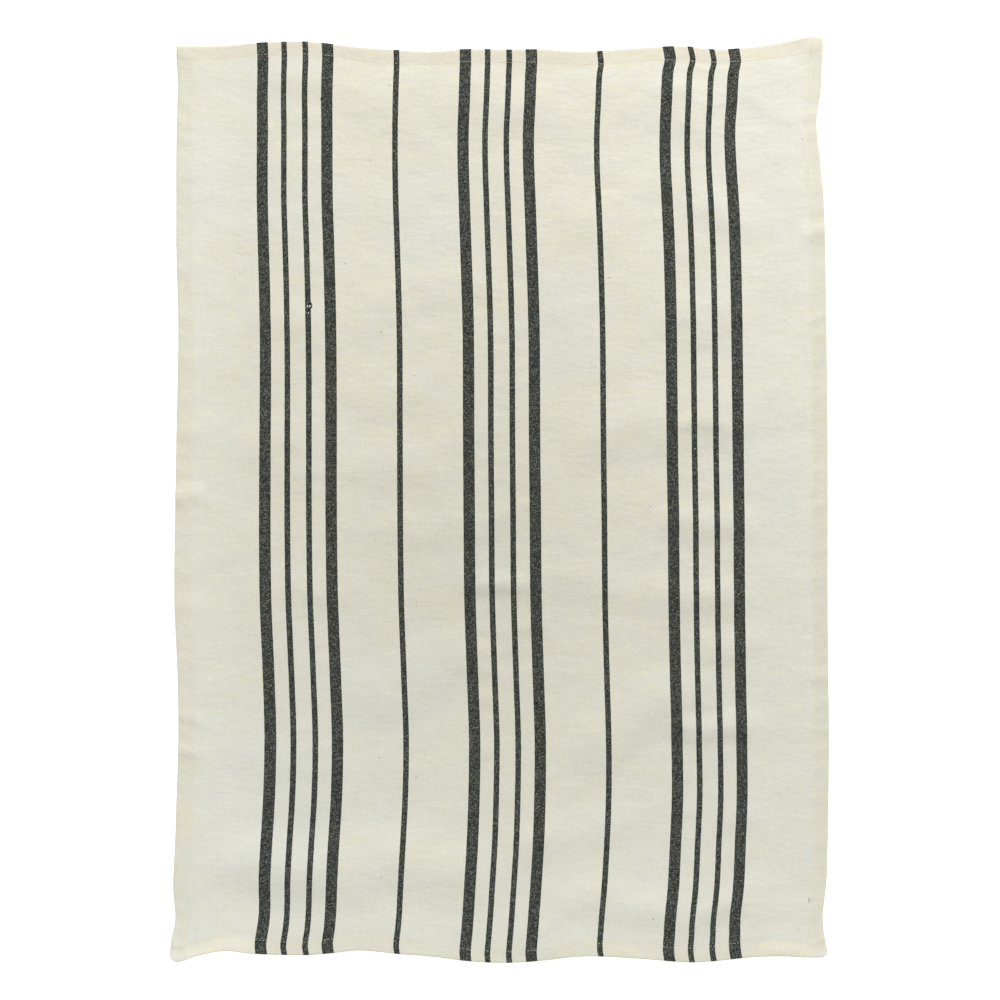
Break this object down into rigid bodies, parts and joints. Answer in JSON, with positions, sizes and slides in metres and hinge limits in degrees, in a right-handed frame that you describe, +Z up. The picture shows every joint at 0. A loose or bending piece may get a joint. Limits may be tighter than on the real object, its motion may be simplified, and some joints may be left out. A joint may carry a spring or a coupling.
{
  "type": "tea towel",
  "caption": "Flat-laid hemmed tea towel of cream woven cloth with dark lengthwise stripes, washed and softly rippled, with wandering sides and wavy ends.",
  "frame": {"origin": "under the middle of the towel's outline, on the surface that it lies on", "axes": "+Z up out of the face of the cloth, +Y along the stripes towards the top end, +X towards the right side"},
  "size_m": [0.5072, 0.7132, 0.0049],
  "materials": {
    "woven_cloth": "soft washed plain weave, cream with charcoal warp stripes, matt"
  },
  "bodies": {
    "root": {"cloth": "woven_cloth"}
  },
  "joints": []
}
